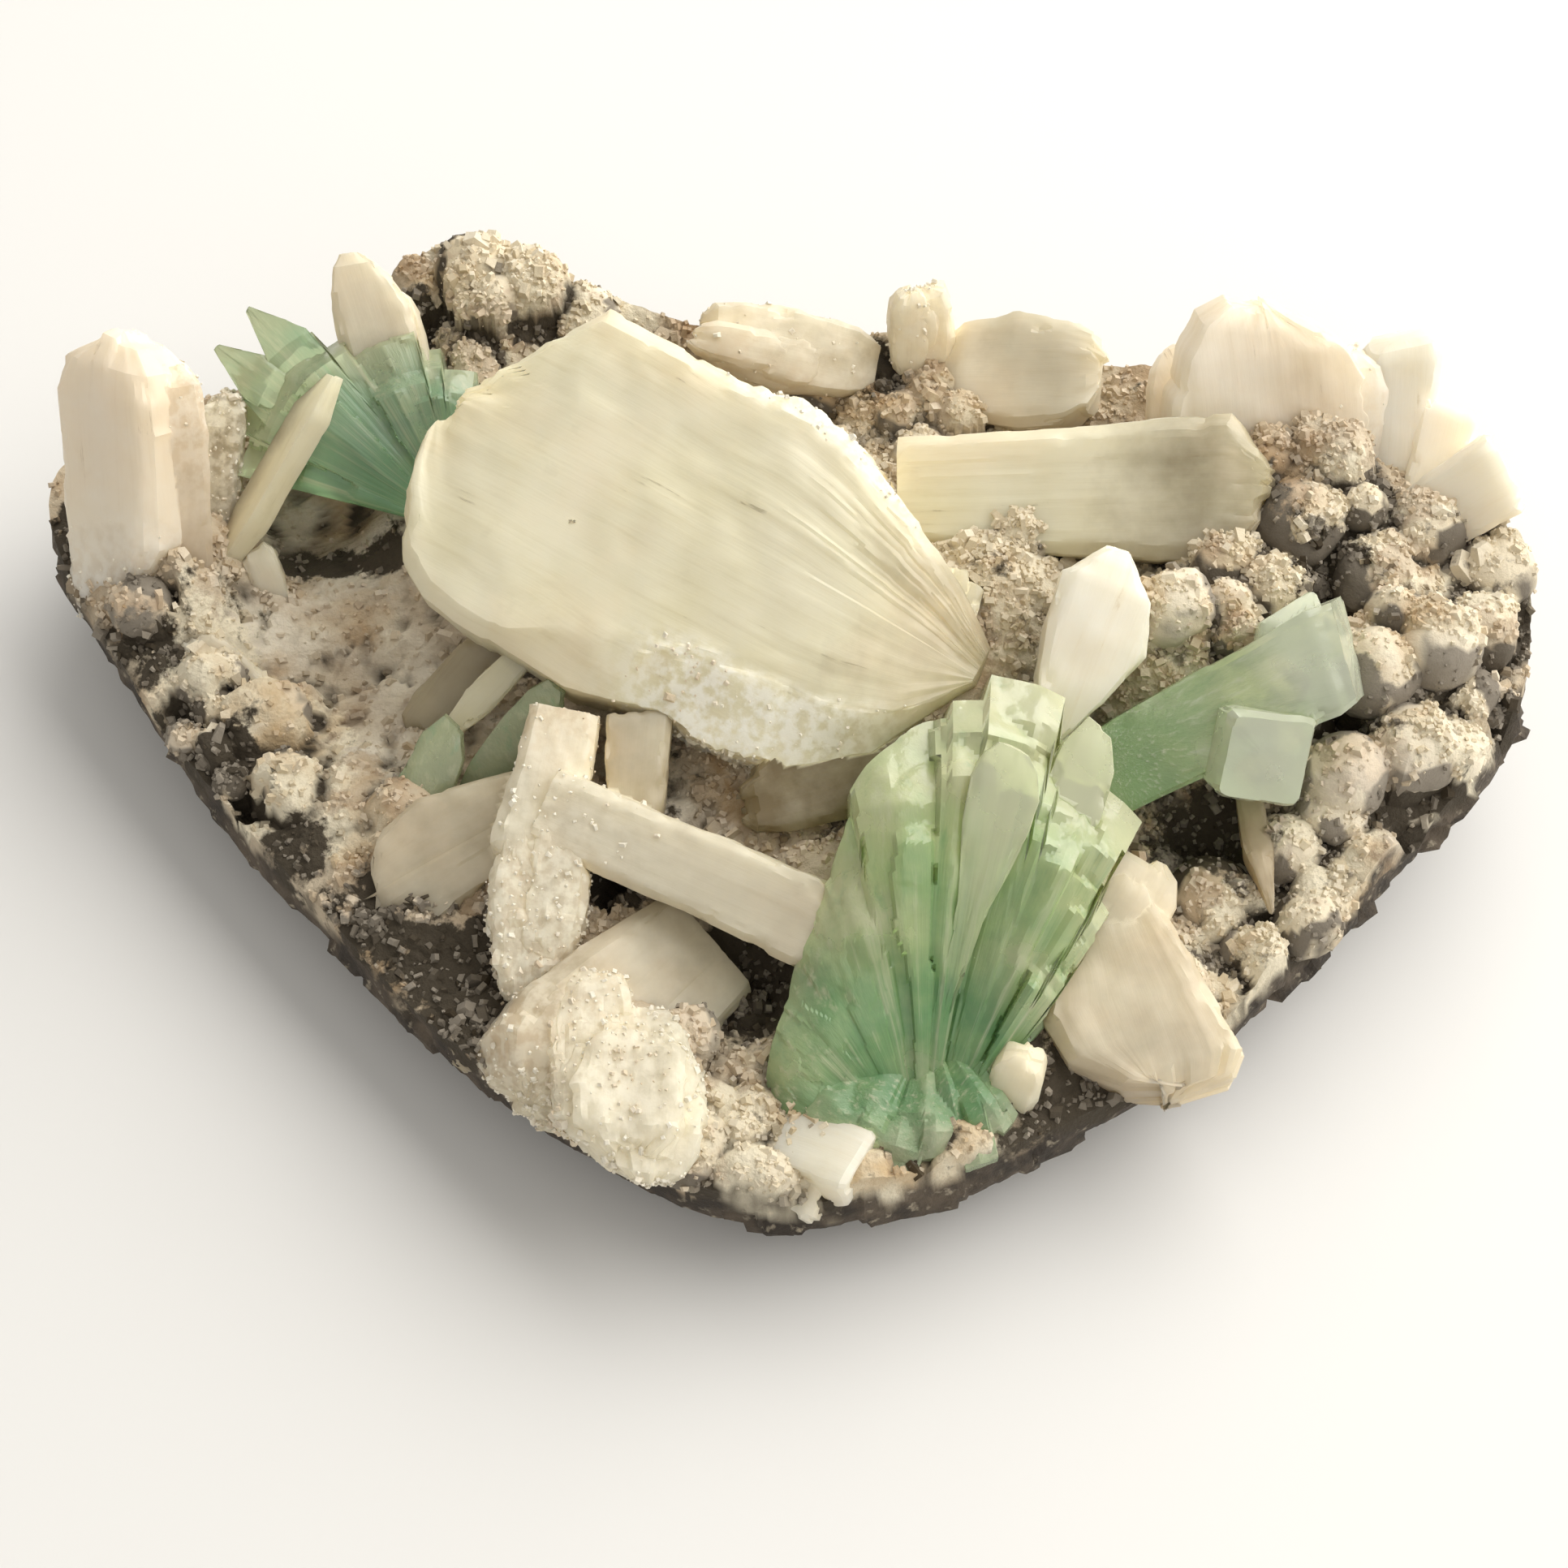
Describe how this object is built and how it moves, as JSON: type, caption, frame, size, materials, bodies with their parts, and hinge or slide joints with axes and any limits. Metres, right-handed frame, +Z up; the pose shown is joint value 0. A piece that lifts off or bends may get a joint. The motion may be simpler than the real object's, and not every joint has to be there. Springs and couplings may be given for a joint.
{
  "type": "apophyllite and stilbite cluster",
  "caption": "Cabinet mineral specimen: green apophyllite and cream stilbite crystals on a slab of dark basalt that rests on its flat broken base.",
  "frame": {"origin": "middle of the flat resting face under the slab", "axes": "+Z up from the resting face, +X along the slab's length to the right of the display side, +Y towards the back, away from the display side"},
  "size_m": [0.1433, 0.1017, 0.0425],
  "materials": {
    "basalt": "rough dark basalt under a drusy crust of pale tan and cream crystals",
    "stilbite": "cream to pale tan pearly blades with fine lengthwise striations, slightly translucent",
    "pale_stilbite": "near-white frosted prisms with a sugary crust, slightly translucent",
    "tan_stilbite": "olive-tan to brown striated prisms",
    "apophyllite": "clear to cloudy green glassy prisms with sharp flat faces, darker in the core and paler at the tips"
  },
  "bodies": {
    "root": {"basalt_slab": "basalt", "stilbite_sheaf": "stilbite", "stilbite_cross": "pale_stilbite", "stilbite_front": "pale_stilbite", "stilbite_front_chip": "tan_stilbite", "stilbite_front_block": "pale_stilbite", "stilbite_front_fan": "stilbite", "stilbite_white_block": "pale_stilbite", "stilbite_left_prism": "stilbite", "stilbite_left_shard": "pale_stilbite", "stilbite_left_blade": "stilbite", "stilbite_left_fin": "stilbite", "stilbite_back_left": "stilbite", "stilbite_back_middle": "stilbite", "stilbite_back_right": "stilbite", "stilbite_right_blocks": "pale_stilbite", "stilbite_cavity_blade": "stilbite", "stilbite_cavity_slab": "tan_stilbite", "stilbite_cavity_stub": "pale_stilbite", "stilbite_cavity_flake": "pale_stilbite", "stilbite_grey_prism": "tan_stilbite", "stilbite_small_cream": "stilbite", "apophyllite_fan": "apophyllite", "apophyllite_prism": "apophyllite", "apophyllite_left_spray": "apophyllite", "apophyllite_small_left": "apophyllite", "apophyllite_small_right": "apophyllite"}
  },
  "joints": []
}
